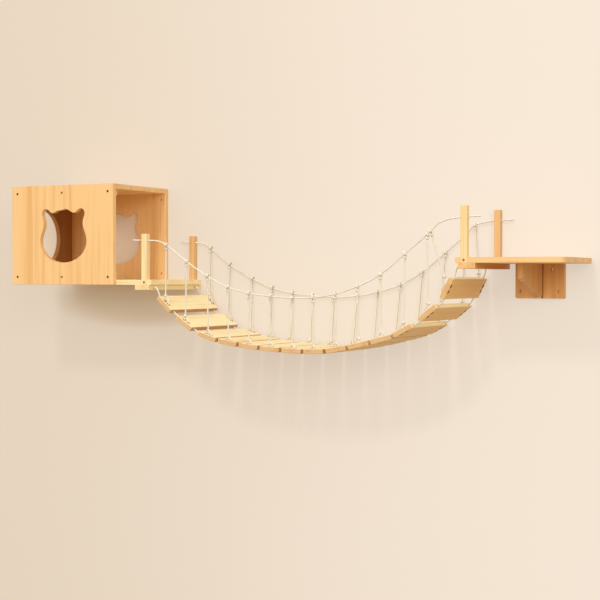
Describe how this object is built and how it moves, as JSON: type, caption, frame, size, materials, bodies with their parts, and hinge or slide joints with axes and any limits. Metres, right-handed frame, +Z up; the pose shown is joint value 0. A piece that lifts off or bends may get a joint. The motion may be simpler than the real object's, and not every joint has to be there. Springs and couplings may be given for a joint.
{
  "type": "cat wall shelf",
  "caption": "Wall-mounted pine cat house with cat-head openings, a hanging rope bridge of planks between posts, and a bracketed wall shelf.",
  "frame": {"origin": "on the wall plane, at the centre of the house's four wall holes", "axes": "+X along the wall from the house to the shelf, +Y into the wall, +Z up"},
  "size_m": [1.7315, 0.3, 0.4903],
  "materials": {
    "pine": "sanded, satin lacquer",
    "plank_pine": "sanded, satin lacquer",
    "screw": "dark bronze",
    "rope": "laid cotton"
  },
  "bodies": {
    "walkway_frame": {"house_front_panel": "pine", "house_back_panel": "pine", "house_side_panel": "pine", "house_top": "pine", "house_floor": "pine", "front_top_cleat": "pine", "front_bottom_cleat": "pine", "left_crossbar": "pine", "right_crossbar": "pine", "shelf_board": "pine", "bracket_wall_plate": "pine", "bracket_gusset": "pine", "left_front_post": "pine", "left_back_post": "pine", "right_front_post": "pine", "right_back_post": "pine", "house_front_screws": "screw", "house_back_screws": "screw", "side_panel_screws": "screw", "post_screws": "screw", "crossbar_screws": "screw", "shelf_screws": "screw", "bracket_screws": "screw", "top_rope_ends": "rope", "deck_rope_ends": "rope"},
    "bridge": {"front_top_rope": "rope", "back_top_rope": "rope", "front_deck_rope": "rope", "back_deck_rope": "rope", "front_hangers": "rope", "back_hangers": "rope"},
    "plank_01_body": {"plank_01": "plank_pine"},
    "plank_02_body": {"plank_02": "plank_pine"},
    "plank_03_body": {"plank_03": "plank_pine"},
    "plank_04_body": {"plank_04": "plank_pine"},
    "plank_05_body": {"plank_05": "plank_pine"},
    "plank_06_body": {"plank_06": "plank_pine"},
    "plank_07_body": {"plank_07": "plank_pine"},
    "plank_08_body": {"plank_08": "plank_pine"},
    "plank_09_body": {"plank_09": "plank_pine"},
    "plank_10_body": {"plank_10": "plank_pine"},
    "plank_11_body": {"plank_11": "plank_pine"},
    "plank_12_body": {"plank_12": "plank_pine"},
    "plank_13_body": {"plank_13": "plank_pine"},
    "plank_14_body": {"plank_14": "plank_pine"}
  },
  "joints": [
    {"name": "bridge_sway", "type": "hinge", "parent": "walkway_frame", "child": "bridge", "pos_m": [0.78123, -0.1425, 0.00678], "axis": [0.9987, 0, 0.0509], "range_deg": [-4, 0.3], "deforming": ["top_rope_ends", "deck_rope_ends"]},
    {"name": "plank_01_rock", "type": "hinge", "parent": "bridge", "child": "plank_01_body", "pos_m": [0.34915, -0.1425, -0.20717], "axis": [0, 1, 0], "range_deg": [-2, 2], "stiffness_Nm_per_rad": 0.1},
    {"name": "plank_02_rock", "type": "hinge", "parent": "bridge", "child": "plank_02_body", "pos_m": [0.41703, -0.1425, -0.26116], "axis": [0, 1, 0], "range_deg": [-2, 2], "stiffness_Nm_per_rad": 0.1},
    {"name": "plank_03_rock", "type": "hinge", "parent": "bridge", "child": "plank_03_body", "pos_m": [0.49469, -0.1425, -0.2982], "axis": [0, 1, 0], "range_deg": [-2, 2], "stiffness_Nm_per_rad": 0.1},
    {"name": "plank_04_rock", "type": "hinge", "parent": "bridge", "child": "plank_04_body", "pos_m": [0.56147, -0.1425, -0.31362], "axis": [0, 1, 0], "range_deg": [-2, 2], "stiffness_Nm_per_rad": 0.1},
    {"name": "plank_05_rock", "type": "hinge", "parent": "bridge", "child": "plank_05_body", "pos_m": [0.62956, -0.1425, -0.32258], "axis": [0, 1, 0], "range_deg": [-2, 2], "stiffness_Nm_per_rad": 0.1},
    {"name": "plank_06_rock", "type": "hinge", "parent": "bridge", "child": "plank_06_body", "pos_m": [0.69798, -0.1425, -0.32857], "axis": [0, 1, 0], "range_deg": [-2, 2], "stiffness_Nm_per_rad": 0.1},
    {"name": "plank_07_rock", "type": "hinge", "parent": "bridge", "child": "plank_07_body", "pos_m": [0.76658, -0.1425, -0.33216], "axis": [0, 1, 0], "range_deg": [-2, 2], "stiffness_Nm_per_rad": 0.1},
    {"name": "plank_08_rock", "type": "hinge", "parent": "bridge", "child": "plank_08_body", "pos_m": [0.83524, -0.1425, -0.33216], "axis": [0, 1, 0], "range_deg": [-2, 2], "stiffness_Nm_per_rad": 0.1},
    {"name": "plank_09_rock", "type": "hinge", "parent": "bridge", "child": "plank_09_body", "pos_m": [0.9034, -0.1425, -0.325], "axis": [0, 1, 0], "range_deg": [-2, 2], "stiffness_Nm_per_rad": 0.1},
    {"name": "plank_10_rock", "type": "hinge", "parent": "bridge", "child": "plank_10_body", "pos_m": [0.97069, -0.1425, -0.31131], "axis": [0, 1, 0], "range_deg": [-2, 2], "stiffness_Nm_per_rad": 0.1},
    {"name": "plank_11_rock", "type": "hinge", "parent": "bridge", "child": "plank_11_body", "pos_m": [1.03734, -0.1425, -0.29469], "axis": [0, 1, 0], "range_deg": [-2, 2], "stiffness_Nm_per_rad": 0.1},
    {"name": "plank_12_rock", "type": "hinge", "parent": "bridge", "child": "plank_12_body", "pos_m": [1.10085, -0.1425, -0.26967], "axis": [0, 1, 0], "range_deg": [-2, 2], "stiffness_Nm_per_rad": 0.1},
    {"name": "plank_13_rock", "type": "hinge", "parent": "bridge", "child": "plank_13_body", "pos_m": [1.17307, -0.1425, -0.22188], "axis": [0, 1, 0], "range_deg": [-2, 2], "stiffness_Nm_per_rad": 0.1},
    {"name": "plank_14_rock", "type": "hinge", "parent": "bridge", "child": "plank_14_body", "pos_m": [1.22662, -0.1425, -0.15574], "axis": [0, 1, 0], "range_deg": [-2, 2], "stiffness_Nm_per_rad": 0.1}
  ]
}
